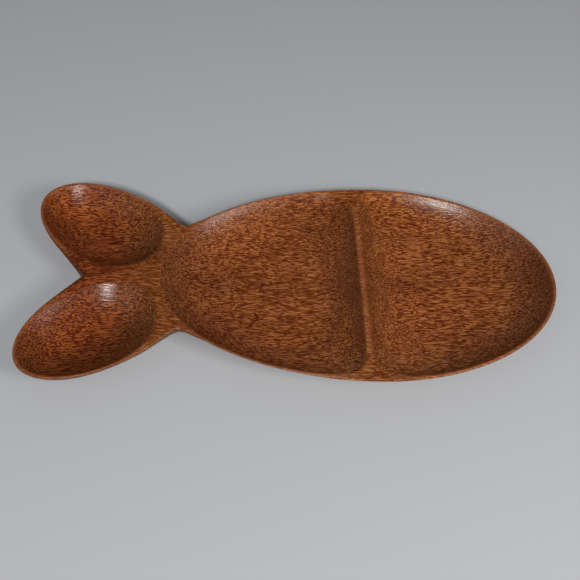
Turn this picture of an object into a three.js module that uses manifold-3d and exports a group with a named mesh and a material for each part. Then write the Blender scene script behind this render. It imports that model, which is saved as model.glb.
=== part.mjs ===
import * as THREE from 'three';
import Module from 'manifold-3d';

// A fish-shaped serving tray carved from one plank. The body holds two wells with a divider
// between them, and each lobe of the tail holds one well. All wells open in one flat rim plane,
// and the outside curves in under the rim to a flat base.
// Millimetres, nose to +X, up +Z. The origin is on the table, under the middle of the tray.

const wasm = await Module();
wasm.setup();

// The tray as a whole
const trayLength = 430;
const trayHeight = 27;
const rimRound = 1;
const lipRound = 0.5;

// The body, an oval whose widest section lies nearer the nose. It runs on under the neck and ends
// the shoulder's setback ahead of the tail's tips. A tuck is how far a side moves in on its way
// from the rim down to the base.
const bodyWidth = 191;
const noseLength = 149;
const shoulderSetback = 102;
const bodyTuck = 36;

// A tail lobe, an oval that points back and outwards, measured each way from its widest section.
// Its side stands steeper along the notch.
const lobeWidth = 85.8;
const lobeTipLength = 81.4;
const lobeRootLength = 65.8;
const lobeSplay = 35;
const lobeSpacing = 76.4;
const lobeTuck = 24;
const lobeInnerTuck = 17.5;

// The neck, from the notch between the lobes to the waist in front of them, which steps out from
// where the body's outline meets a lobe's. Its web sinks a little into the lobes and the body, so
// that they join along clean lines.
const crotchDepth = 43;
const crotchRound = 2;
const waistStep = 5.4;
const waistRound = 6;
const crotchTuck = 5;
const waistTuck = 20;
const webSink = 1;

// The two wells of the body. Fullness is the power in an outline's equation: 2 gives an ellipse,
// and more fills out its corners.
const bodyWellDepth = 19;
const bodyWallRun = 42;
const rimWidth = 2.6;
const neckLand = 5;
const noseFullness = 2;
const shoulderFullness = 2.08;

// The divider between them, which stands a little out of square
const dividerSetback = 159.9;
const dividerTurn = 1.3;
const dividerWidth = 4.6;
const dividerRunAft = 33;
const dividerRunFore = 42;
const cornerFullnessAft = 7;
const cornerFullnessFore = 8;

// The well of a tail lobe
const tailWellDepth = 17;
const tailWallRun = 31;
const tailTipRim = 2.5;
const tailOuterLand = 3;
const tailInnerLand = 7.8;
const tailRootLand = 33.9;
const tailWellShift = 13.7;
const tailWellTurn = 4.5;

// How a wall falls from the rim into its floor, and the outside's lean from upright, in degrees,
// where it leaves the rim and where it meets the base
const wallCurve = 2.2;
const floorDish = 0.8;
const leanAtRim = 27;
const leanAtBase = 75;

// How finely the curves are cut into flats
const bodySteps = 80;
const lobeSteps = 60;
const wellSteps = 76;
const wellRays = 240;
const tailWellSteps = 48;
const edgeSteps = 3;
const sideSteps = 6;
const wallSteps = 7;
const floorSteps = 2;
const waistSteps = 6;
const crotchSteps = 6;

// How far the cutting solids stand above the rim, and how often a search halves its range
const cutAbove = 3;
const searchHalvings = 22;

const tailTipX = -trayLength / 2;
const bodyCentreX = trayLength / 2 - noseLength;
const shoulderLength = trayLength - noseLength - shoulderSetback;
const dividerX = trayLength / 2 - dividerSetback;
const dividerSlope = Math.tan(radians(dividerTurn));

function radians(degrees) {
  return (degrees * Math.PI) / 180;
}

// An oval has its own reach ahead of, behind and to each side of its centre
function ovalPoint(oval, turn) {
  const along = Math.cos(turn) * (Math.cos(turn) > 0 ? oval.front : oval.back);
  const across = Math.sin(turn) * (Math.sin(turn) > 0 ? oval.left : oval.right);
  const angle = radians(oval.angle);
  const x = oval.x + along * Math.cos(angle) - across * Math.sin(angle);
  const y = oval.y + along * Math.sin(angle) + across * Math.cos(angle);
  return new THREE.Vector2(x, y);
}

function ovalRing(oval, inset, steps, rightInset = inset) {
  const smaller = {
    ...oval,
    front: oval.front - inset,
    back: oval.back - inset,
    left: oval.left - inset,
    right: oval.right - rightInset,
  };
  return ringOf(steps, (turn) => ovalPoint(smaller, turn));
}

function ringOf(steps, pointAt) {
  const ring = [];
  for (let i = 0; i < steps; i += 1) {
    ring.push(pointAt((i / steps) * 2 * Math.PI));
  }
  return ring;
}

function mirrored(ring) {
  return ring.map((point) => new THREE.Vector2(point.x, -point.y)).reverse();
}

// A closed solid through rings of equal count, listed from the top down. It ends in a flat face,
// or in a point where one is given.
function loft(levels, apex) {
  const count = levels[0].ring.length;
  const positions = [];
  const index = [];
  levels.forEach((level) => {
    level.ring.forEach((point) => positions.push(point.x, point.y, level.z));
  });
  for (let row = 0; row + 1 < levels.length; row += 1) {
    for (let i = 0; i < count; i += 1) {
      const next = (i + 1) % count;
      const above = row * count;
      const below = above + count;
      index.push(above + i, below + i, above + next);
      index.push(above + next, below + i, below + next);
    }
  }
  const bottom = (levels.length - 1) * count;
  capTriangles(levels[0].ring).forEach(([a, b, c]) => index.push(a, b, c));
  if (apex) {
    positions.push(apex.x, apex.y, apex.z);
    for (let i = 0; i < count; i += 1) {
      index.push(bottom + i, bottom + count, bottom + ((i + 1) % count));
    }
  } else {
    capTriangles(levels.at(-1).ring).forEach(([a, b, c]) => {
      index.push(bottom + a, bottom + c, bottom + b);
    });
  }
  const mesh = new wasm.Mesh({
    numProp: 3,
    vertProperties: new Float32Array(positions),
    triVerts: new Uint32Array(index),
  });
  return new wasm.Manifold(mesh);
}

// Triangles across a ring, turned to face up
function capTriangles(ring) {
  return THREE.ShapeUtils.triangulateShape(ring, []).map(([a, b, c]) => {
    const area = THREE.ShapeUtils.area([ring[a], ring[b], ring[c]]);
    return area > 0 ? [a, b, c] : [a, c, b];
  });
}

// The outside from the rim down: a small rounded edge, then a sweep in to the base
function outsideProfile(tuck) {
  const profile = [];
  for (let i = 0; i < edgeSteps; i += 1) {
    const turn = ((i / edgeSteps) * Math.PI) / 2;
    const inset = rimRound * (1 - Math.sin(turn));
    profile.push({ inset, z: trayHeight - rimRound * (1 - Math.cos(turn)) });
  }
  const first = radians(leanAtRim);
  const last = radians(leanAtBase);
  for (let i = 0; i <= sideSteps; i += 1) {
    const lean = first + (i / sideSteps) * (last - first);
    const inward = (Math.cos(first) - Math.cos(lean)) / (Math.cos(first) - Math.cos(last));
    const down = (Math.sin(lean) - Math.sin(first)) / (Math.sin(last) - Math.sin(first));
    profile.push({ inset: tuck * inward, z: (trayHeight - rimRound) * (1 - down) });
  }
  return profile;
}

const bodyOval = {
  x: bodyCentreX,
  y: 0,
  front: noseLength,
  back: shoulderLength,
  left: bodyWidth / 2,
  right: bodyWidth / 2,
  angle: 0,
};

// The lobe on the +Y side, set so that its tip reaches the tray's tail end
function lobeOval() {
  const angle = radians(lobeSplay);
  const reach = Math.hypot(lobeTipLength * Math.cos(angle), (lobeWidth / 2) * Math.sin(angle));
  return {
    x: tailTipX + reach,
    y: lobeSpacing / 2,
    front: lobeRootLength,
    back: lobeTipLength,
    left: lobeWidth / 2,
    right: lobeWidth / 2,
    angle: -lobeSplay,
  };
}

function bodyHull() {
  const levels = outsideProfile(bodyTuck).map(({ inset, z }) => {
    return { ring: ovalRing(bodyOval, inset, bodySteps), z };
  });
  return loft(levels);
}

function lobeHull(side) {
  const inner = outsideProfile(lobeInnerTuck);
  const levels = outsideProfile(lobeTuck).map(({ inset, z }, i) => {
    const ring = ovalRing(lobeOval(), inset, lobeSteps, inner[i].inset);
    return { ring: side > 0 ? ring : mirrored(ring), z };
  });
  return loft(levels);
}

function isInOval(oval, point) {
  const local = new THREE.Vector2(point.x - oval.x, point.y - oval.y);
  local.rotateAround(new THREE.Vector2(), -radians(oval.angle));
  const along = local.x / (local.x > 0 ? oval.front : oval.back);
  const across = local.y / (local.y > 0 ? oval.left : oval.right);
  return Math.hypot(along, across) < 1;
}

// The last value on the way from one to another for which a test holds
function lastWhere(holds, from, to) {
  let near = from;
  let far = to;
  for (let i = 0; i < searchHalvings; i += 1) {
    const middle = (near + far) / 2;
    if (holds(middle)) {
      near = middle;
    } else {
      far = middle;
    }
  }
  return near;
}

// The waist's corner on the +Y side, out from where the body's outline runs into the lobe's
function waistCorner() {
  const lobe = lobeOval();
  const isClear = (turn) => !isInOval(lobe, ovalPoint(bodyOval, turn));
  const meeting = ovalPoint(bodyOval, lastWhere(isClear, Math.PI / 2, Math.PI));
  return meeting.add(new THREE.Vector2(0, waistStep));
}

// The point of a ring where a straight line from outside just touches it,
// with the ring on the line's left for side 1 and on its right for side -1
function touchPoint(from, ring, side) {
  return ring.reduce((best, point) => {
    const toBest = best.clone().sub(from);
    const toPoint = point.clone().sub(from);
    return toBest.cross(toPoint) * side < 0 ? point : best;
  });
}

// An arc of the given radius in place of the corner between two straight runs
function roundedCorner(before, corner, after, radius, steps) {
  const back = before.clone().sub(corner).normalize();
  const ahead = after.clone().sub(corner).normalize();
  const half = Math.acos(THREE.MathUtils.clamp(back.dot(ahead), -1, 1)) / 2;
  const toCentre = back.clone().add(ahead).setLength(radius / Math.sin(half));
  const centre = corner.clone().add(toCentre);
  const start = corner.clone().addScaledVector(back, radius / Math.tan(half)).sub(centre);
  const sweep = Math.sign(start.cross(toCentre.clone().negate())) * (Math.PI - 2 * half);
  const arc = [];
  for (let i = 0; i <= steps; i += 1) {
    arc.push(start.clone().rotateAround(new THREE.Vector2(), (i / steps) * sweep).add(centre));
  }
  return arc;
}

// The neck's outline at one level, between straight lines that end just inside the lobes and the
// body. The crotch and the waist are hollow corners, so their rounding grows further down.
function neckRing(level) {
  const lobe = ovalRing(lobeOval(), level.lobe + webSink, lobeSteps, level.flank + webSink);
  const body = ovalRing(bodyOval, level.body + webSink, bodySteps);
  const crotch = new THREE.Vector2(tailTipX + crotchDepth + level.crotch, 0);
  const waist = waistCorner().sub(new THREE.Vector2(0, level.waist));
  const lobeInside = touchPoint(crotch, lobe, -1);
  const lobeOutside = touchPoint(waist, lobe, 1);
  const shoulder = touchPoint(waist, body, -1);
  const upperCrotch = roundedCorner(
    new THREE.Vector2(lobeInside.x, -lobeInside.y),
    crotch,
    lobeInside,
    crotchRound + level.crotch,
    crotchSteps,
  );
  const waistRadius = waistRound + level.waist;
  const upperWaist = roundedCorner(lobeOutside, waist, shoulder, waistRadius, waistSteps);
  const upper = [shoulder, ...upperWaist.reverse(), lobeOutside, lobeInside];
  const lower = upper.map((point) => new THREE.Vector2(point.x, -point.y)).reverse();
  return [...upper, ...upperCrotch.reverse(), ...lower];
}

function neckHull() {
  const crotch = outsideProfile(crotchTuck);
  const waist = outsideProfile(waistTuck);
  const lobe = outsideProfile(lobeTuck);
  const flank = outsideProfile(lobeInnerTuck);
  const body = outsideProfile(bodyTuck);
  const levels = crotch.map(({ inset, z }, i) => {
    const level = {
      crotch: inset,
      waist: waist[i].inset,
      lobe: lobe[i].inset,
      flank: flank[i].inset,
      body: body[i].inset,
    };
    return { ring: neckRing(level), z };
  });
  return loft(levels);
}

// A well from above the rim down: a rounded lip, a wall that eases into the floor, a slight dish.
// Spread is how far the outline has moved in from the rim, as a share of the wall's run.
function wellProfile(depth, run) {
  const profile = [{ spread: -lipRound / run, z: trayHeight + cutAbove }];
  for (let i = 0; i < edgeSteps; i += 1) {
    const turn = ((i / edgeSteps) * Math.PI) / 2;
    const spread = (-lipRound * (1 - Math.sin(turn))) / run;
    profile.push({ spread, z: trayHeight - lipRound * (1 - Math.cos(turn)) });
  }
  for (let i = 0; i <= wallSteps; i += 1) {
    const spread = i / wallSteps;
    const fall = 1 - (1 - spread) ** wallCurve;
    profile.push({ spread, z: trayHeight - lipRound - (depth - floorDish - lipRound) * fall });
  }
  return profile;
}

// Rings of the dished floor, drawn in towards the middle of the last wall ring
function floorLevels(ring, centre, depth) {
  const levels = [];
  for (let i = 1; i <= floorSteps; i += 1) {
    const size = 1 - i / (floorSteps + 1);
    const shrunk = ring.map((point) => point.clone().sub(centre).multiplyScalar(size).add(centre));
    levels.push({ ring: shrunk, z: trayHeight - depth + floorDish * size ** 2 });
  }
  return levels;
}

// A ring through the same outline with its points at equal distances
function evenlySpaced(ring, steps) {
  const curve = new THREE.SplineCurve([...ring, ring[0]]);
  curve.arcLengthDivisions = 4 * ring.length;
  return curve.getSpacedPoints(steps).slice(0, steps);
}

// One of the body's wells, on the fore (1) or aft (-1) side of the divider. Its outline is the
// body's oval cut off at the divider, with the corner between them rounded.
function bodyWell(way) {
  const dividerRun = way > 0 ? dividerRunFore : dividerRunAft;
  const cornerFullness = way > 0 ? cornerFullnessFore : cornerFullnessAft;
  const crestX = dividerX + (way * dividerWidth) / 2;
  const endX = way > 0
    ? bodyCentreX + noseLength - rimWidth
    : bodyCentreX - shoulderLength + neckLand;
  const centre = new THREE.Vector2((crestX + endX) / 2, 0);

  function isInside(point, spread) {
    const inset = spread * bodyWallRun;
    const ahead = point.x > bodyCentreX;
    const fullness = ahead ? noseFullness : shoulderFullness;
    const length = ahead ? noseLength - rimWidth : shoulderLength - neckLand;
    const along = Math.abs(point.x - bodyCentreX) / (length - inset);
    const across = Math.abs(point.y) / (bodyWidth / 2 - rimWidth - inset);
    const oval = (along ** fullness + across ** fullness) ** (1 / fullness);
    const wallX = crestX + way * dividerRun * spread - dividerSlope * point.y;
    const divider = Math.max(0, (point.x - centre.x) / (wallX - centre.x));
    return oval ** cornerFullness + divider ** cornerFullness < 1;
  }

  function ringAt(spread) {
    const rays = ringOf(wellRays, (turn) => {
      const direction = new THREE.Vector2(Math.cos(turn), Math.sin(turn));
      const pointAt = (reach) => centre.clone().addScaledVector(direction, reach);
      return pointAt(lastWhere((reach) => isInside(pointAt(reach), spread), 0, trayLength));
    });
    return evenlySpaced(rays, wellSteps);
  }

  const walls = wellProfile(bodyWellDepth, bodyWallRun).map(({ spread, z }) => {
    return { ring: ringAt(spread), z };
  });
  const floor = floorLevels(walls.at(-1).ring, centre, bodyWellDepth);
  return loft([...walls, ...floor], new THREE.Vector3(centre.x, 0, trayHeight - bodyWellDepth));
}

// The well of a lobe, an oval inside the lobe's own, wider from the edge towards the neck
function tailWell(side) {
  const lobe = lobeOval();
  const angle = radians(lobe.angle);
  const along = new THREE.Vector2(Math.cos(angle), Math.sin(angle));
  const outward = new THREE.Vector2(-along.y, along.x);
  const centre = new THREE.Vector2(lobe.x, lobe.y)
    .addScaledVector(along, -tailWellShift)
    .addScaledVector(outward, (tailInnerLand - tailOuterLand) / 2);
  const oval = {
    x: centre.x,
    y: centre.y,
    front: lobeRootLength + tailWellShift - tailRootLand,
    back: lobeTipLength - tailWellShift - tailTipRim,
    left: (lobeWidth - tailOuterLand - tailInnerLand) / 2,
    right: (lobeWidth - tailOuterLand - tailInnerLand) / 2,
    angle: lobe.angle + tailWellTurn,
  };
  const walls = wellProfile(tailWellDepth, tailWallRun).map(({ spread, z }) => {
    return { ring: ovalRing(oval, spread * tailWallRun, tailWellSteps), z };
  });
  const levels = [...walls, ...floorLevels(walls.at(-1).ring, centre, tailWellDepth)];
  const sided = levels.map(({ ring, z }) => ({ ring: side > 0 ? ring : mirrored(ring), z }));
  return loft(sided, new THREE.Vector3(centre.x, side * centre.y, trayHeight - tailWellDepth));
}

function geometryOf(solid) {
  const mesh = solid.getMesh();
  const geometry = new THREE.BufferGeometry();
  geometry.setAttribute('position', new THREE.BufferAttribute(mesh.vertProperties, 3));
  geometry.setIndex(new THREE.BufferAttribute(mesh.triVerts, 1));
  geometry.computeVertexNormals();
  return geometry;
}

function carvedTray() {
  const hull = bodyHull().add(lobeHull(1)).add(lobeHull(-1)).add(neckHull());
  const wells = [bodyWell(1), bodyWell(-1), tailWell(1), tailWell(-1)];
  const carved = wells.reduce((solid, well) => solid.subtract(well), hull);
  const wood = new THREE.MeshStandardMaterial({ color: 0x6b3b1e, roughness: 0.45, metalness: 0 });
  const mesh = new THREE.Mesh(geometryOf(carved), wood);
  mesh.name = 'carved_tray';
  return mesh;
}

const tray = new THREE.Group();
tray.add(carvedTray());

export default tray;
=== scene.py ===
from math import cos, pi, radians, sin, sqrt, tan

import bmesh
import bpy
import numpy as np
from mathutils import Euler, Matrix, Vector


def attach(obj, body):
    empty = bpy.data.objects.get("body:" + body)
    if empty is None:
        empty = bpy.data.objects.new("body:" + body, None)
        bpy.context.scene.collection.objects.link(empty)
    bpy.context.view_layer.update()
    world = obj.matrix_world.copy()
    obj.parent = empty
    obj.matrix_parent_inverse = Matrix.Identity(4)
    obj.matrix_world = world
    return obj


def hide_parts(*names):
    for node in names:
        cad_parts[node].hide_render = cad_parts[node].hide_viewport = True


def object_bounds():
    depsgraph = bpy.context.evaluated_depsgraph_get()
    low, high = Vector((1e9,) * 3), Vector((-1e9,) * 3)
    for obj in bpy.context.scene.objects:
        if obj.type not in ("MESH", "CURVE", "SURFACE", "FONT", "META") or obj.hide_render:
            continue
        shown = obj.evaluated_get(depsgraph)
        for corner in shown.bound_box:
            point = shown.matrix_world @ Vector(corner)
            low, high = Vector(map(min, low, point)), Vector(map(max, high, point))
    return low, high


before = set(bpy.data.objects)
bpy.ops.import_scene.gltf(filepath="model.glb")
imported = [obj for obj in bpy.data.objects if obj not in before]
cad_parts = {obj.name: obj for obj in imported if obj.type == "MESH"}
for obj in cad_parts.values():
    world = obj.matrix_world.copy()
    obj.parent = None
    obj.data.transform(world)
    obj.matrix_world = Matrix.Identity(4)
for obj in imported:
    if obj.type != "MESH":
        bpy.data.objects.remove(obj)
cad_low, cad_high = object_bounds()

# Camera
# It looks down on the tray from its near side, -Y, a little left of the middle, and is rolled
# slightly, as a hand-held picture is. Lens and sensor are in millimetres, its place in metres
# and its angles in degrees.
CAMERA_LENS = 52.76
CAMERA_SENSOR = 36.0
CAMERA_TARGET = Vector((-0.004145, -0.013695, 0.027))
CAMERA_DISTANCE = 0.6838
CAMERA_DOWN = 55.2725
CAMERA_HEADING = 4.1803
CAMERA_ROLL = 4.2626

camera_data = bpy.data.cameras.new("camera")
camera_data.lens = CAMERA_LENS
camera_data.sensor_width = CAMERA_SENSOR
camera_data.sensor_fit = "HORIZONTAL"
camera_data.clip_start = 0.01
camera = bpy.data.objects.new("camera", camera_data)
bpy.context.scene.collection.objects.link(camera)
aim = Euler((radians(90 - CAMERA_DOWN), 0, radians(-CAMERA_HEADING))).to_matrix()
aim = aim @ Matrix.Rotation(radians(CAMERA_ROLL), 3, "Z")
away = aim @ Vector((0, 0, CAMERA_DISTANCE))
camera.matrix_world = Matrix.Translation(CAMERA_TARGET + away) @ aim.to_4x4()
bpy.context.scene.camera = camera

# Outline of the tray
# The whole fish is one plank, sawn to shape: an oval body, two oval tail lobes and the neck that
# joins them. Sizes are in millimetres, from the nose at +X to the tail tips at -X.
MM = 0.001
NOSE_X = cad_high.x / MM
TAIL_X = cad_low.x / MM
TRAY_LENGTH = NOSE_X - TAIL_X
TRAY_HEIGHT = cad_high.z / MM
BODY_WIDTH = 191.0
NOSE_LENGTH = 149.0
SHOULDER_SETBACK = 102.0
LOBE_WIDTH = 85.8
LOBE_TIP_LENGTH = 81.4
LOBE_ROOT_LENGTH = 65.8
LOBE_SPLAY = 35.0
LOBE_SPACING = 76.4
CROTCH_DEPTH = 43.0
CROTCH_ROUND = 2.0
WAIST_STEP = 5.4
WAIST_ROUND = 6.0
BODY_RING_STEPS = 400
LOBE_RING_STEPS = 240
CORNER_STEPS = 12

BODY_X = NOSE_X - NOSE_LENGTH
SHOULDER_LENGTH = TRAY_LENGTH - NOSE_LENGTH - SHOULDER_SETBACK
HALVINGS = 30


class Oval:
    """An oval with its own reach ahead of, behind, left and right of its centre."""

    def __init__(self, centre, angle, front, back, left, right):
        self.centre = np.array(centre)
        self.angle = angle
        self.reaches = (front, back, left, right)

    def local(self, points):
        turn = np.array([[cos(self.angle), -sin(self.angle)], [sin(self.angle), cos(self.angle)]])
        return (points - self.centre) @ turn

    def size_at(self, points, inset=0.0, right_inset=None):
        """1 on the oval's line, less inside it, for an oval drawn in by inset."""
        front, back, left, right = self.reaches
        along, across = self.local(points).T
        reach = np.where(along > 0, front, back) - inset
        right_side = right - (inset if right_inset is None else right_inset)
        side = np.where(across > 0, left - inset, right_side)
        return np.sqrt((along / reach) ** 2 + (across / side) ** 2)

    def ring(self, steps, inset=0.0, right_inset=None):
        turns = np.arange(steps) / steps * 2 * pi
        front, back, left, right = self.reaches
        right_side = right - (inset if right_inset is None else right_inset)
        along = np.cos(turns) * (np.where(np.cos(turns) > 0, front, back) - inset)
        across = np.sin(turns) * np.where(np.sin(turns) > 0, left - inset, right_side)
        turn = np.array([[cos(self.angle), sin(self.angle)], [-sin(self.angle), cos(self.angle)]])
        return np.stack([along, across], 1) @ turn + self.centre


def last_where(holds, near, far):
    """For each place of the arrays, the last value on the way from near to far that holds."""
    for _ in range(HALVINGS):
        middle = (near + far) / 2
        good = holds(middle)
        near = np.where(good, middle, near)
        far = np.where(good, far, middle)
    return near


def touch_point(start, ring, side):
    """Where a straight line from start just touches a ring that lies on the line's side."""
    to = ring - start
    best = 0
    for i in range(1, len(ring)):
        if (to[best, 0] * to[i, 1] - to[best, 1] * to[i, 0]) * side < 0:
            best = i
    return ring[best]


def rounded_corner(before, corner, after, radius):
    """The arc that rounds a corner, from the side towards before to the side towards after."""
    back = (before - corner) / np.linalg.norm(before - corner)
    ahead = (after - corner) / np.linalg.norm(after - corner)
    half = np.arccos(np.clip(back @ ahead, -1, 1)) / 2
    middle = (back + ahead) / np.linalg.norm(back + ahead)
    centre = corner + middle * radius / np.sin(half)
    first = corner + back * radius / np.tan(half) - centre
    last = corner + ahead * radius / np.tan(half) - centre
    full = pi - 2 * half
    arc = []
    for i in range(CORNER_STEPS + 1):
        share = i / CORNER_STEPS
        spoke = (first * sin((1 - share) * full) + last * sin(share * full)) / sin(full)
        arc.append(centre + spoke)
    return arc


lobe_reach = sqrt(
    (LOBE_TIP_LENGTH * cos(radians(LOBE_SPLAY))) ** 2
    + (LOBE_WIDTH / 2 * sin(radians(LOBE_SPLAY))) ** 2
)
body_oval = Oval((BODY_X, 0), 0.0, NOSE_LENGTH, SHOULDER_LENGTH, BODY_WIDTH / 2, BODY_WIDTH / 2)
lobe_oval = Oval(
    (TAIL_X + lobe_reach, LOBE_SPACING / 2),
    radians(-LOBE_SPLAY),
    LOBE_ROOT_LENGTH,
    LOBE_TIP_LENGTH,
    LOBE_WIDTH / 2,
    LOBE_WIDTH / 2,
)


def shoulder_point(turn):
    """A point on the body's tail half, by its turn round the oval."""
    along = np.cos(turn) * SHOULDER_LENGTH + BODY_X
    return np.stack([along, np.sin(turn) * BODY_WIDTH / 2], -1)


meeting_turn = last_where(
    lambda turn: lobe_oval.size_at(shoulder_point(turn)) > 1, np.array([pi / 2]), np.array([pi])
)
waist_corner = shoulder_point(meeting_turn)[0] + (0, WAIST_STEP)


def neck_ring(crotch_in, waist_in, lobe_in, flank_in, body_in):
    """The neck between crotch, waist and shoulder, with each drawn in by its own amount."""
    lobe = lobe_oval.ring(LOBE_RING_STEPS, lobe_in, flank_in)
    body = body_oval.ring(BODY_RING_STEPS, body_in)
    crotch = np.array([TAIL_X + CROTCH_DEPTH + crotch_in, 0.0])
    waist = waist_corner - (0, waist_in)
    inside = touch_point(crotch, lobe, -1)
    outside = touch_point(waist, lobe, 1)
    shoulder = touch_point(waist, body, -1)
    notch = rounded_corner(inside * (1, -1), crotch, inside, CROTCH_ROUND + crotch_in)
    hollow = rounded_corner(outside, waist, shoulder, WAIST_ROUND + waist_in)
    upper = np.array([shoulder, *hollow[::-1], outside, inside])
    lower = (upper * (1, -1))[::-1]
    return np.array([*upper, *notch[::-1], *lower])


def in_polygon(points, ring):
    """Whether each point lies inside a closed ring, by counting the sides it looks across."""
    x, y = points[:, :1], points[:, 1:]
    x0, y0 = ring.T
    x1, y1 = np.roll(ring, -1, axis=0).T
    spans = (y0 > y) != (y1 > y)
    crossing = x0 + (y - y0) * (x1 - x0) / np.where(y1 == y0, 1.0, y1 - y0)
    return (spans & (x < crossing)).sum(1) % 2 == 1


OUTLINE_HUB = np.array([-60.0, 0.0])
OUTLINE_COUNT = 840
FAN_SAMPLES = 6000


def outline_ring(directions, crotch_in=0.0, waist_in=0.0, lobe_in=0.0, flank_in=0.0, body_in=0.0):
    """The fish's outline along rays from the hub, with each part drawn in by its own amount."""
    neck = neck_ring(crotch_in, waist_in, lobe_in, flank_in, body_in)

    def inside(reach):
        points = OUTLINE_HUB + directions * reach[:, None]
        upper = np.stack([points[:, 0], np.abs(points[:, 1])], 1)
        hit = body_oval.size_at(upper, body_in) < 1
        hit |= lobe_oval.size_at(upper, lobe_in, flank_in) < 1
        return hit | in_polygon(upper, neck)

    start = np.zeros(len(directions))
    return OUTLINE_HUB + directions * last_where(inside, start, start + TRAY_LENGTH)[:, None]


def fan(turns):
    return np.stack([np.cos(turns), np.sin(turns)], 1)


def even_fan(ring_along, count):
    """Directions whose rays meet a ring at equal distances along it."""
    turns = np.arange(FAN_SAMPLES + 1) / FAN_SAMPLES * 2 * pi
    ring = ring_along(fan(turns))
    steps = np.linalg.norm(np.diff(ring, axis=0), axis=1)
    along = np.concatenate([[0.0], np.cumsum(steps)])
    return fan(np.interp(np.arange(count) / count * along[-1], along, turns))


def inward_normals(ring):
    tangent = np.roll(ring, -1, axis=0) - np.roll(ring, 1, axis=0)
    tangent /= np.linalg.norm(tangent, axis=1)[:, None]
    return np.stack([-tangent[:, 1], tangent[:, 0]], 1)


outline_directions = even_fan(outline_ring, OUTLINE_COUNT)
outline = outline_ring(outline_directions)

# Wells
# Four hollows are carved with a gouge and sanded: two in the body with a narrow divider between
# them, and one in each lobe. Each wall runs off the rim and eases into a slightly dished floor.
BODY_WELL_DEPTH = 19.0
BODY_WALL_RUN = 42.0
RIM_WIDTH = 2.6
NECK_LAND = 5.0
NOSE_FULLNESS = 2.0
SHOULDER_FULLNESS = 2.08
DIVIDER_SETBACK = 159.9
DIVIDER_TURN = 1.3
DIVIDER_WIDTH = 4.6
DIVIDER_RUN = {-1: 33.0, 1: 42.0}
FAR_CORNER_FULLNESS = {-1: 7.0, 1: 9.0}
NEAR_CORNER_ALONG = {-1: 5.0, 1: 4.2}
NEAR_CORNER_ACROSS = {-1: 11.0, 1: 12.0}
DEEP_CORNER_FULLNESS = 3.0
CORNER_EASE = 16.0
DIVIDER_LIP_SHARE = {-1: 0.26, 1: 0.58}
TAIL_LIP_SHARE = 0.3
TAIL_WELL_DEPTH = 17.0
TAIL_WALL_RUN = 31.0
TAIL_TIP_RIM = 2.5
TAIL_OUTER_LAND = 3.0
TAIL_INNER_LAND = 7.8
TAIL_ROOT_LAND = 33.9
TAIL_WELL_SHIFT = 13.7
TAIL_WELL_TURN = 4.5
BODY_WALL_CURVE = 2.45
TAIL_WALL_CURVE = 1.65
FLOOR_DISH = 0.8
WALL_START = 0.5
BODY_WELL_COUNT = 380
TAIL_WELL_COUNT = 220
DIVIDER_X = NOSE_X - DIVIDER_SETBACK
DIVIDER_SLOPE = tan(radians(DIVIDER_TURN))


class Well:
    """A well's outline test, its middle, depth, how far its walls run in and how they curve.

    lip_share is the share of the land towards a neighbouring well that its lip may take.
    """

    def __init__(self, inside, middle, depth, run, curve, lip_share, count):
        self.inside = inside
        self.middle = np.array(middle)
        self.depth = depth
        self.run = run
        self.curve = curve
        self.lip_share = lip_share
        self.directions = even_fan(lambda directions: self.ring(directions, 0.0), count)
        self.edge = self.ring(self.directions, 0.0)

    def ring(self, directions, inset):
        """The outline drawn in by inset, which may differ from ray to ray."""
        start = np.zeros(len(directions))

        def holds(reach):
            return self.inside(self.middle + directions * reach[:, None], inset)

        return self.middle + directions * last_where(holds, start, start + TRAY_LENGTH)[:, None]

    def wall_height(self, inset):
        fall = 1 - np.maximum(0, 1 - inset / self.run) ** self.curve
        return TRAY_HEIGHT - WALL_START - (self.depth - FLOOR_DISH - WALL_START) * fall

    def lead(self):
        """How far outside the outline the wall's curve would reach the rim plane."""
        rise = WALL_START / (self.depth - FLOOR_DISH - WALL_START)
        return self.run * ((1 + rise) ** (1 / self.curve) - 1)


def body_well(way):
    """The well ahead of the divider for way 1, and behind it for way -1."""
    crest = DIVIDER_X + way * DIVIDER_WIDTH / 2
    nose_end, neck_end = NOSE_X - RIM_WIDTH, BODY_X - SHOULDER_LENGTH + NECK_LAND
    middle = ((crest + (nose_end if way > 0 else neck_end)) / 2, 0.0)

    def inside(points, inset):
        x, y = points.T
        ahead = x > BODY_X
        fullness = np.where(ahead, NOSE_FULLNESS, SHOULDER_FULLNESS)
        length = np.where(ahead, NOSE_LENGTH - RIM_WIDTH, SHOULDER_LENGTH - NECK_LAND) - inset
        width = BODY_WIDTH / 2 - RIM_WIDTH - inset
        oval = (np.abs(x - BODY_X) / length) ** fullness + (np.abs(y) / width) ** fullness
        oval **= 1 / fullness
        wall = crest + way * DIVIDER_RUN[way] * inset / BODY_WALL_RUN - DIVIDER_SLOPE * y
        divider = np.maximum(0, (x - middle[0]) / (wall - middle[0]))
        across = np.where(y > 0, FAR_CORNER_FULLNESS[way], NEAR_CORNER_ACROSS[way])
        along = np.where(y > 0, FAR_CORNER_FULLNESS[way], NEAR_CORNER_ALONG[way])
        eased = np.clip(inset / CORNER_EASE, 0, 1)
        across = across + (DEEP_CORNER_FULLNESS - across) * eased
        along = along + (DEEP_CORNER_FULLNESS - along) * eased
        return oval**across + divider**along < 1

    shape = (BODY_WELL_DEPTH, BODY_WALL_RUN, BODY_WALL_CURVE, DIVIDER_LIP_SHARE[way])
    return Well(inside, middle, *shape, BODY_WELL_COUNT)


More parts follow.
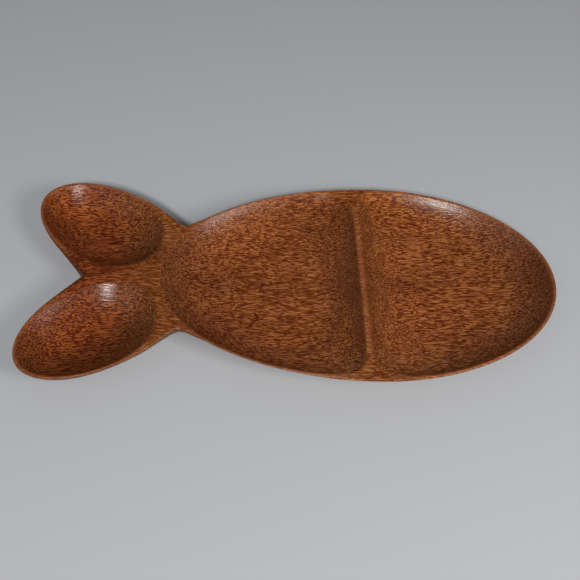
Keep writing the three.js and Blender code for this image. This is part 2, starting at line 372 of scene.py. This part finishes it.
def tail_well(side):
    """The well in the lobe on the +Y side for side 1, and on the -Y side for side -1."""
    splay = radians(-LOBE_SPLAY)
    along = np.array([cos(splay), sin(splay)])
    outward = np.array([-along[1], along[0]])
    middle = lobe_oval.centre - along * TAIL_WELL_SHIFT
    middle = middle + outward * (TAIL_INNER_LAND - TAIL_OUTER_LAND) / 2
    half = (LOBE_WIDTH - TAIL_OUTER_LAND - TAIL_INNER_LAND) / 2
    front = LOBE_ROOT_LENGTH + TAIL_WELL_SHIFT - TAIL_ROOT_LAND
    back = LOBE_TIP_LENGTH - TAIL_WELL_SHIFT - TAIL_TIP_RIM
    oval = Oval(middle, splay + radians(TAIL_WELL_TURN), front, back, half, half)

    def inside(points, inset):
        return oval.size_at(points * (1, side), inset) < 1

    shape = (TAIL_WELL_DEPTH, TAIL_WALL_RUN, TAIL_WALL_CURVE, TAIL_LIP_SHARE)
    return Well(inside, middle * (1, side), *shape, TAIL_WELL_COUNT)


wells = [body_well(1), body_well(-1), tail_well(1), tail_well(-1)]

# Rim and sides
# The rim is one level plane, rounded over by sanding, and broad only at the neck. Below it the
# sides curve well in under the rim to a flat foot, and are steepest along the notch of the tail.
RIM_ROUND = 1.3
RIM_ROUND_SHARE = 0.5
CROTCH_EXTRA_ROUND = 3.6
CROTCH_EXTRA_REACH = 34.0
LIP_SHARE = 0.4
LIP_MOST = 2.1
LIP_SPAN = 2.2
FLAT_MARGIN = 0.5
FLAT_MARGIN_SHARE = {"rim": 0.025, "divider": 0.0125}
BODY_TUCK = 36.0
LOBE_TUCK = 24.0
LOBE_FLANK_TUCK = 17.5
CROTCH_TUCK = 5.0
WAIST_TUCK = 20.0
LEAN_AT_RIM = radians(27)
LEAN_AT_FOOT = radians(75)
ROUND_STEPS = 7
SIDE_STEPS = 16
SIDE_BLEND = 7.0
WALL_STEPS = 24
FLOOR_STEPS = 8
LIP_STEPS = 11
SANDED_BELOW = 4.8
SANDING_PASSES = 50
MERGE_DISTANCE = 1e-4
LEVEL_TOLERANCE = 1e-3
# The three below set the band of narrow rim that gets paler wear and a painted sheen.
WEAR_AND_SHEEN_DEPTH = 1.6
WEAR_AND_SHEEN_FULL_LAND = 2.5
WEAR_AND_SHEEN_NO_LAND = 7.0


def gap_to(points, ring):
    """The distance from each point to the nearest side of a closed ring."""
    side = np.roll(ring, -1, axis=0) - ring
    gaps = []
    for point in points:
        share = ((point - ring) * side).sum(1) / (side * side).sum(1)
        foot = ring + side * np.clip(share, 0, 1)[:, None]
        gaps.append(np.linalg.norm(foot - point, axis=1).min())
    return np.array(gaps)


def lifted(ring, height):
    """A plan ring set at a height, or at one height for each point."""
    return np.column_stack([ring, np.broadcast_to(height, len(ring))])


def blended(ring, reach):
    """A ring smoothed along its own length, over about the given distance."""
    spacing = np.linalg.norm(np.diff(ring, axis=0), axis=1).mean()
    for _ in range(int(2 * (reach / spacing) ** 2)):
        ring = (np.roll(ring, 1, axis=0) + 2 * ring + np.roll(ring, -1, axis=0)) / 4
    return ring


def narrowness(land):
    """1 where the rim is at its narrowest, falling to 0 on the broad land of the neck."""
    return np.clip((WEAR_AND_SHEEN_NO_LAND - land) / (WEAR_AND_SHEEN_NO_LAND - WEAR_AND_SHEEN_FULL_LAND), 0, 1)


def rim_and_side_rows():
    """Rings from the flat of the rim, over its outer round and down the side to the foot."""
    lead = wells[0].lead()
    land = np.min([gap_to(outline, well.edge) for well in wells], axis=0) - lead
    crotch = np.array([TAIL_X + CROTCH_DEPTH, 0.0])
    closeness = np.exp(-((np.linalg.norm(outline - crotch, axis=1) / CROTCH_EXTRA_REACH) ** 2))
    radius = np.minimum(RIM_ROUND + CROTCH_EXTRA_ROUND * closeness, RIM_ROUND_SHARE * land)
    margin = np.minimum(FLAT_MARGIN, FLAT_MARGIN_SHARE["rim"] * land)
    inward = inward_normals(outline)
    rows = [lifted(outline + inward * (radius + margin)[:, None], TRAY_HEIGHT)]
    for i in range(ROUND_STEPS + 1):
        turn = i / ROUND_STEPS * (pi / 2 + LEAN_AT_RIM)
        ring = outline + inward * (radius * (1 - sin(turn)))[:, None]
        rows.append(lifted(ring, TRAY_HEIGHT - radius * (1 - cos(turn))))
    start_in = RIM_ROUND * (1 - cos(LEAN_AT_RIM))
    start_z = TRAY_HEIGHT - radius * (1 + sin(LEAN_AT_RIM))
    for i in range(1, SIDE_STEPS + 1):
        lean = LEAN_AT_RIM + i / SIDE_STEPS * (LEAN_AT_FOOT - LEAN_AT_RIM)
        span = cos(LEAN_AT_RIM) - cos(LEAN_AT_FOOT)
        share = (cos(LEAN_AT_RIM) - cos(lean)) / span
        down = (sin(lean) - sin(LEAN_AT_RIM)) / (sin(LEAN_AT_FOOT) - sin(LEAN_AT_RIM))
        insets = [
            start_in + share * (tuck - start_in)
            for tuck in (CROTCH_TUCK, WAIST_TUCK, LOBE_TUCK, LOBE_FLANK_TUCK, BODY_TUCK)
        ]
        ring = blended(outline_ring(outline_directions, *insets), SIDE_BLEND * down)
        rows.append(lifted(ring, start_z * (1 - down)))
    return rows, narrowness(land)


def well_rows(well):
    """Rings from the flat of the rim, over the lip and down the wall to the floor's middle."""
    lead = well.lead()
    to_rim = gap_to(well.edge, outline) - lead
    others = [other for other in wells if other is not well]
    to_well = np.min([gap_to(well.edge, other.edge) for other in others], axis=0) - 2 * lead
    lip = np.minimum(LIP_SHARE * to_rim, well.lip_share * to_well)
    lip = np.minimum(LIP_MOST, lip)
    margin = np.minimum(FLAT_MARGIN_SHARE["rim"] * to_rim, FLAT_MARGIN_SHARE["divider"] * to_well)
    margin = np.minimum(FLAT_MARGIN, margin)
    blend = well.wall_height(-lead - lip) - TRAY_HEIGHT
    rows = [lifted(well.ring(well.directions, -lead - lip - margin), TRAY_HEIGHT)]
    for i in range(LIP_STEPS + 1):
        inset = -lead - lip + LIP_SPAN * lip * i / LIP_STEPS
        rows.append(lifted(well.ring(well.directions, inset), soft_rim(well, inset, blend)))
    last_lip = inset
    for i in range(1, WALL_STEPS + 1):
        inset = last_lip + (well.run - last_lip) * i / WALL_STEPS
        rows.append(lifted(well.ring(well.directions, inset), soft_rim(well, inset, blend)))
    floor = rows[-1][:, :2]
    for i in range(1, FLOOR_STEPS + 1):
        size = 1 - i / FLOOR_STEPS
        ring = well.middle + (floor - well.middle) * size
        rows.append(lifted(ring, TRAY_HEIGHT - well.depth + FLOOR_DISH * size**2))
    return rows, narrowness(np.minimum(to_rim, to_well))


def soft_rim(well, inset, blend):
    """The lower of the rim plane and the wall, with the corner between them rounded."""
    wall = well.wall_height(inset)
    share = np.clip(0.5 + 0.5 * (wall - TRAY_HEIGHT) / blend, 0, 1)
    return wall + (TRAY_HEIGHT - wall) * share - blend * share * (1 - share)


def add_sheet(shape, rows, narrow):
    """A band of faces through closed rings of equal count, listed one beside the next."""
    wear_and_sheen = shape.verts.layers.float["wear_and_sheen"]
    count = len(rows[0])
    made = bmesh.ops.create_grid(shape, x_segments=count, y_segments=len(rows) - 1, size=1)
    for vert in made["verts"]:
        column = round((vert.co.x + 1) / 2 * count) % count
        row = round((vert.co.y + 1) / 2 * (len(rows) - 1))
        vert.co = rows[row][column]
        # The narrow rim near its top takes paler wear and a painted sheen.
        height = 1 + (vert.co.z - TRAY_HEIGHT) / WEAR_AND_SHEEN_DEPTH
        vert[wear_and_sheen] = max(0.0, height) * narrow[column]
    return made["verts"]


def open_edges_at(shape, height):
    def level(edge):
        return all(abs(vert.co.z - height) < LEVEL_TOLERANCE for vert in edge.verts)

    return [edge for edge in shape.edges if edge.is_boundary and level(edge)]


tray_shape = bmesh.new()
tray_shape.verts.layers.float.new("wear_and_sheen")
add_sheet(tray_shape, *rim_and_side_rows())
well_verts = []
for well in wells:
    well_verts += add_sheet(tray_shape, *well_rows(well))
bmesh.ops.remove_doubles(tray_shape, verts=tray_shape.verts, dist=MERGE_DISTANCE)
sunk = [v for v in well_verts if v.is_valid and v.co.z < TRAY_HEIGHT - SANDED_BELOW]
for _ in range(SANDING_PASSES):
    bmesh.ops.smooth_vert(tray_shape, verts=sunk, factor=0.5, use_axis_z=True)
for height in (TRAY_HEIGHT, 0.0):
    bmesh.ops.triangle_fill(
        tray_shape, edges=open_edges_at(tray_shape, height), use_beauty=True, use_dissolve=False
    )
bmesh.ops.recalc_face_normals(tray_shape, faces=tray_shape.faces)
bmesh.ops.scale(tray_shape, vec=(MM, MM, MM), verts=tray_shape.verts)
for face in tray_shape.faces:
    face.smooth = True
tray_mesh = bpy.data.meshes.new("carved_fish_tray")
tray_shape.to_mesh(tray_mesh)
tray_shape.free()
tray = bpy.data.objects.new("carved_fish_tray", tray_mesh)
bpy.context.scene.collection.objects.link(tray)

# Wood of the tray
# A dense brown wood with dark fibres along the plank, oiled and rubbed to a satin finish. The
# fibres show as dashes where the surface is level, and as specks where a wall cuts across them.
# Sizes in the wood are in metres, as the finished tray's coordinates are.
WOOD_DARK = (0.070, 0.0085, 0.0006)
WOOD_MIDDLE = (0.155, 0.036, 0.0060)
WOOD_LIGHT = (0.335, 0.117, 0.040)
# Paler wear with a painted sheen, for the narrow rim and crest.
WOOD_WEAR_AND_SHEEN = (0.290, 0.105, 0.042)
WEAR_AND_SHEEN_SHARE = 0.36
FIBRE_SCALE = (100.0, 960.0, 1200.0)
FINE_FIBRE_SCALE = (240.0, 1500.0, 1900.0)
LINE_SCALE = (80.0, 820.0, 1050.0)
BAND_SCALE = (6.0, 34.0, 34.0)
FINE_FIBRE_SHARE = 0.45
FIBRE_WEIGHT = 0.66
LINE_WEIGHT = 0.90
LINE_LEVEL = 0.075
BEND_SCALE = 16.0
BEND_REACH = 0.010
CURL_SCALE = 75.0
CURL_REACH = 0.0028
LIP_FOOT_Z = 0.0255
LIP_TOP_Z = 0.0268
RELIEF_DEPTH = 0.0003
# The axis of the end-grain tone dips towards the nose, so that walls facing the tail get painted
# shade.
END_GRAIN_SHADE_DIP = radians(-8)
END_GRAIN_SHADE_AXIS = (cos(END_GRAIN_SHADE_DIP), 0.0, sin(END_GRAIN_SHADE_DIP))


class Nodes:
    """A material's node tree, with one call per node."""

    def __init__(self, name):
        self.material = bpy.data.materials.new(name)
        self.material.use_nodes = True
        self.tree = self.material.node_tree
        self.tree.nodes.clear()

    def add(self, kind, inputs=None, **settings):
        node = self.tree.nodes.new("ShaderNode" + kind)
        for name, value in settings.items():
            setattr(node, name, value)
        for name, value in (inputs or {}).items():
            self.put(node.inputs[name], value)
        return node

    def put(self, socket, value):
        if isinstance(value, bpy.types.NodeSocket):
            self.tree.links.new(value, socket)
        else:
            socket.default_value = value

    def math(self, operation, *values):
        return self.add("Math", dict(enumerate(values)), operation=operation).outputs[0]

    def vector_math(self, operation, first, second):
        return self.add("VectorMath", {0: first, 1: second}, operation=operation).outputs

    def spread(self, value, low, high, at_low=0.0, at_high=1.0):
        """Goes from at_low to at_high as the value goes from low to high, and not beyond."""
        ends = {"From Min": low, "From Max": high, "To Min": at_low, "To Max": at_high}
        return self.add("MapRange", {"Value": value, **ends}).outputs["Result"]

    def ramp(self, value, *stops):
        node = self.add("ValToRGB", {"Fac": value})
        ramp = node.color_ramp
        ramp.interpolation = "EASE"
        while len(ramp.elements) < len(stops):
            ramp.elements.new(0.5)
        for element, (place, colour) in zip(ramp.elements, stops):
            element.position = place
            element.color = (*colour, 1.0)
        return node.outputs["Color"]

    def mix(self, factor, first, second, blend="MIX"):
        node = self.add("Mix", data_type="RGBA", blend_type=blend)
        sockets = (node.inputs[0], node.inputs[6], node.inputs[7])
        for socket, value in zip(sockets, (factor, first, second)):
            self.put(socket, (*value, 1.0) if isinstance(value, tuple) else value)
        return node.outputs[2]

    def noise(self, vector, stretch, detail, roughness):
        mapping = self.add("Mapping", {"Vector": vector, "Scale": stretch})
        inputs = {"Vector": mapping.outputs[0], "Scale": 1.0}
        inputs.update({"Detail": detail, "Roughness": roughness})
        return self.add("TexNoise", inputs).outputs[0]

    def wander(self, vector, scale, reach):
        """A slow sideways shift, by at most about half the reach, that lets fibres run wavy."""
        shift = self.add("TexNoise", {"Vector": vector, "Scale": scale, "Detail": 1.0})
        shift = self.vector_math("SUBTRACT", shift.outputs["Color"], (0.5, 0.5, 0.5))[0]
        return self.vector_math("MULTIPLY", shift, (0.0, reach, reach))[0]


def grey(value):
    return (value, value, value)


wood = Nodes("carved_wood_satin")
place = wood.add("TexCoord").outputs["Object"]
grain = wood.vector_math("ADD", place, wood.wander(place, BEND_SCALE, BEND_REACH))[0]
grain = wood.vector_math("ADD", grain, wood.wander(place, CURL_SCALE, CURL_REACH))[0]

# The fibres: coarse and fine ones, and thin wavy lines between them.
fibres = wood.noise(grain, FIBRE_SCALE, 2.0, 0.6)
fine = wood.noise(grain, FINE_FIBRE_SCALE, 1.0, 0.5)
lines = wood.noise(grain, LINE_SCALE, 1.0, 0.5)
figure = wood.add("Mix", {0: FINE_FIBRE_SHARE, 2: fibres, 3: fine}, data_type="FLOAT").outputs[0]
figure = wood.math("MULTIPLY", wood.math("SUBTRACT", figure, 0.5), FIBRE_WEIGHT)
lines = wood.math("SUBTRACT", wood.math("ABSOLUTE", wood.math("SUBTRACT", lines, 0.5)), LINE_LEVEL)
figure = wood.math("ADD", figure, wood.math("MULTIPLY", lines, LINE_WEIGHT))

# They stand out most at the tail tips, and less on the flat of the rim and neck than in the wells.
spot = wood.add("SeparateXYZ", {0: place})
along = wood.spread(spot.outputs[0], TAIL_X * MM, NOSE_X * MM)
across = wood.spread(spot.outputs[1], cad_low.y, cad_high.y)
strength = wood.ramp(
    along,
    (0.03, grey(1.25)),
    (0.13, grey(0.80)),
    (0.23, grey(0.63)),
    (0.62, grey(0.50)),
    (0.78, grey(0.62)),
)
rim_strength = wood.spread(along, 0.36, 0.46, 1.1, 1.8)
on_rim = wood.spread(spot.outputs[2], LIP_FOOT_Z, LIP_TOP_Z, 2.0, rim_strength)
figure = wood.math("MULTIPLY", figure, wood.math("MULTIPLY", strength, on_rim))
figure = wood.math("ADD", figure, 0.5)
colour = wood.ramp(figure, (0.405, WOOD_DARK), (0.492, WOOD_MIDDLE), (0.592, WOOD_LIGHT))

# Slow changes of tone: bands in the plank, end grain, along the plank, and painted light across
# it.
# Walls that cut across the plank are darker, partly as end grain and partly as painted shade: the
# axis dips a little towards the nose, so walls that face the tail, away from the right lamp, get
# the most painted shade, darker and greyer.
bands = wood.noise(grain, BAND_SCALE, 3.0, 0.6)
band_tone = wood.ramp(bands, (0.30, (0.79, 0.76, 0.76)), (0.70, (1.12, 1.16, 1.19)))
facing = wood.add("NewGeometry").outputs["Normal"]
facing = wood.vector_math("DOT_PRODUCT", facing, END_GRAIN_SHADE_AXIS)["Value"]
# End grain and painted shade: darker and greyer on walls that face the tail, away from the right
# lamp.
end_grain_and_painted_shade = wood.ramp(
    wood.spread(facing, -1.0, 1.0),
    (0.14, (0.62, 0.64, 0.66)),
    (0.28, (0.68, 0.70, 0.72)),
    (0.38, (0.83, 0.84, 0.85)),
    (0.46, grey(1.0)),
    (0.57, grey(1.0)),
    (0.69, grey(0.88)),
    (0.85, grey(0.78)),
)
plank_tone = wood.ramp(
    along,
    (0.13, (0.76, 0.57, 0.39)),
    (0.25, (0.93, 0.99, 0.92)),
    (0.31, (0.84, 0.81, 0.77)),
    (0.42, (0.98, 0.96, 0.89)),
    (0.88, (0.94, 0.92, 0.86)),
    (0.98, (0.79, 0.79, 0.79)),
)
# Painted light and shade across the plank: the far side lighter and more orange, where the far
# walls face the front lamp, and the near side darker and greyer, where the near walls face away
# from it.
painted_light_across = wood.ramp(
    across,
    (0.05, (0.88, 0.96, 1.02)),
    (0.22, grey(1.0)),
    (0.70, grey(1.0)),
    (0.93, (1.14, 1.17, 1.05)),
)
for tone in (band_tone, end_grain_and_painted_shade, plank_tone, painted_light_across):
    colour = wood.mix(1.0, colour, tone, blend="MULTIPLY")

# The narrow rim is worn paler, with a painted sheen on top of the wear where it catches the light;
# the finish follows the fibres' fine relief.
wear_and_sheen_mask = wood.add("Attribute", attribute_name="wear_and_sheen").outputs["Fac"]
colour = wood.mix(wood.math("MULTIPLY", wear_and_sheen_mask, WEAR_AND_SHEEN_SHARE), colour, WOOD_WEAR_AND_SHEEN)
relief = {"Height": figure, "Distance": RELIEF_DEPTH}
bump = wood.add("Bump", {**relief, "Strength": 0.5})
coat_bump = wood.add("Bump", {**relief, "Strength": 0.40})
surface = wood.add(
    "BsdfPrincipled",
    {
        "Base Color": colour,
        "Roughness": wood.spread(figure, 0.4, 0.6, 0.50, 0.40),
        "IOR": 1.46,
        "Specular IOR Level": 0.06,
        "Coat Weight": 0.27,
        "Coat Roughness": 0.20,
        "Normal": bump.outputs[0],
        "Coat Normal": coat_bump.outputs[0],
    },
)
wood.add("OutputMaterial", {"Surface": surface.outputs[0]})
tray_mesh.materials.append(wood.material)

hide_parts("carved_tray")
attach(tray, "root")

# Floor and light
# A plain pale floor. The main soft lamp stands in front, a closer one at the right and a weak one
# at the left, and a pale surround fills the shadows. Distances are in metres, power in watts.
FLOOR_COLOUR = (0.382, 0.394, 0.416)
FLOOR_HALF_SIZE = 3.0
FLOOR_DROP = 0.0001
LAMP_COLOUR = (1.0, 0.985, 0.96)
SURROUND_COLOUR = (0.97, 0.98, 1.0)
SURROUND_STRENGTH = 0.16

floor_shape = bmesh.new()
bmesh.ops.create_grid(floor_shape, x_segments=1, y_segments=1, size=FLOOR_HALF_SIZE)
bmesh.ops.translate(floor_shape, vec=(0, 0, -FLOOR_DROP), verts=floor_shape.verts)
floor_mesh = bpy.data.meshes.new("floor")
floor_shape.to_mesh(floor_mesh)
floor_shape.free()
floor = bpy.data.objects.new("floor", floor_mesh)
bpy.context.scene.collection.objects.link(floor)
plain = Nodes("floor_plain")
matte = plain.add("BsdfPrincipled", {"Base Color": (*FLOOR_COLOUR, 1.0), "Roughness": 0.95})
plain.add("OutputMaterial", {"Surface": matte.outputs[0]})
floor_mesh.materials.append(plain.material)


def soft_lamp(name, azimuth, elevation, distance, size, power):
    """A square area lamp that faces the tray; azimuth runs from +X towards +Y."""
    data = bpy.data.lights.new(name, "AREA")
    data.shape = "SQUARE"
    data.size = size
    data.energy = power
    data.color = LAMP_COLOUR
    lamp = bpy.data.objects.new(name, data)
    bpy.context.scene.collection.objects.link(lamp)
    turn, rise = radians(azimuth), radians(elevation)
    direction = Vector((cos(rise) * cos(turn), cos(rise) * sin(turn), sin(rise)))
    lamp.location = direction * distance
    lamp.rotation_euler = direction.to_track_quat("Z", "Y").to_euler()


soft_lamp("front_lamp", azimuth=-101, elevation=49, distance=2.0, size=0.26, power=30.0)
soft_lamp("right_lamp", azimuth=-40, elevation=40, distance=1.3, size=0.40, power=7.8)
soft_lamp("left_lamp", azimuth=-150, elevation=45, distance=2.0, size=0.80, power=2.5)

world = bpy.data.worlds.new("surround")
bpy.context.scene.world = world
world.use_nodes = True
background = world.node_tree.nodes["Background"]
background.inputs["Color"].default_value = (*SURROUND_COLOUR, 1.0)
background.inputs["Strength"].default_value = SURROUND_STRENGTH
bpy.context.scene.view_settings.view_transform = "Standard"
